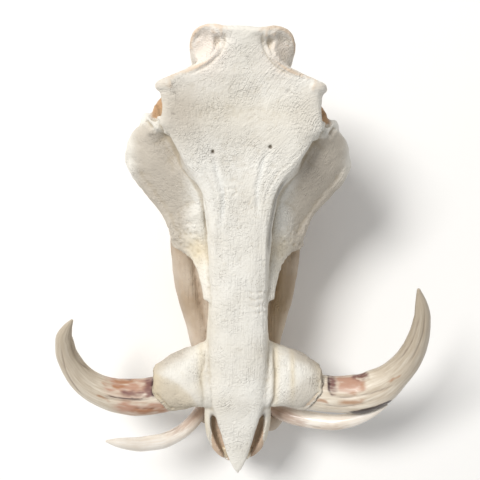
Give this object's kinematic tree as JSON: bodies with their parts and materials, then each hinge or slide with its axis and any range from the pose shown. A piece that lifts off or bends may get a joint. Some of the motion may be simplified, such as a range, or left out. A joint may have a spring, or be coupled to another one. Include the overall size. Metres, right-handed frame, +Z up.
{
  "type": "warthog skull",
  "caption": "Bleached warthog skull resting on its lower jaw, with long curved upper tusks and slimmer lower tusks.",
  "frame": {"origin": "centre of the whole skull's footprint, on the surface that the lower jaw stands on", "axes": "+Z up, +X towards the animal's own left, +Y from the nose towards the crest at the back of the head"},
  "size_m": [0.2938, 0.3464, 0.2145],
  "materials": {
    "bone": "matte, chalky, bleached bone",
    "tusk_ivory": "satin ivory",
    "tooth_enamel": "satin enamel"
  },
  "bodies": {
    "root": {"cranium": "bone", "lower_jaw": "bone", "upper_tusk_left": "tusk_ivory", "lower_tusk_left": "tusk_ivory", "upper_molar_left": "tooth_enamel", "upper_premolar_left": "tooth_enamel", "lower_molar_left": "tooth_enamel", "lower_premolar_left": "tooth_enamel", "upper_incisor_left": "tooth_enamel", "lower_incisor_inner_left": "tooth_enamel", "lower_incisor_outer_left": "tooth_enamel", "upper_tusk_right": "tusk_ivory", "lower_tusk_right": "tusk_ivory", "upper_molar_right": "tooth_enamel", "upper_premolar_right": "tooth_enamel", "lower_molar_right": "tooth_enamel", "lower_premolar_right": "tooth_enamel", "upper_incisor_right": "tooth_enamel", "lower_incisor_inner_right": "tooth_enamel", "lower_incisor_outer_right": "tooth_enamel"}
  },
  "joints": []
}
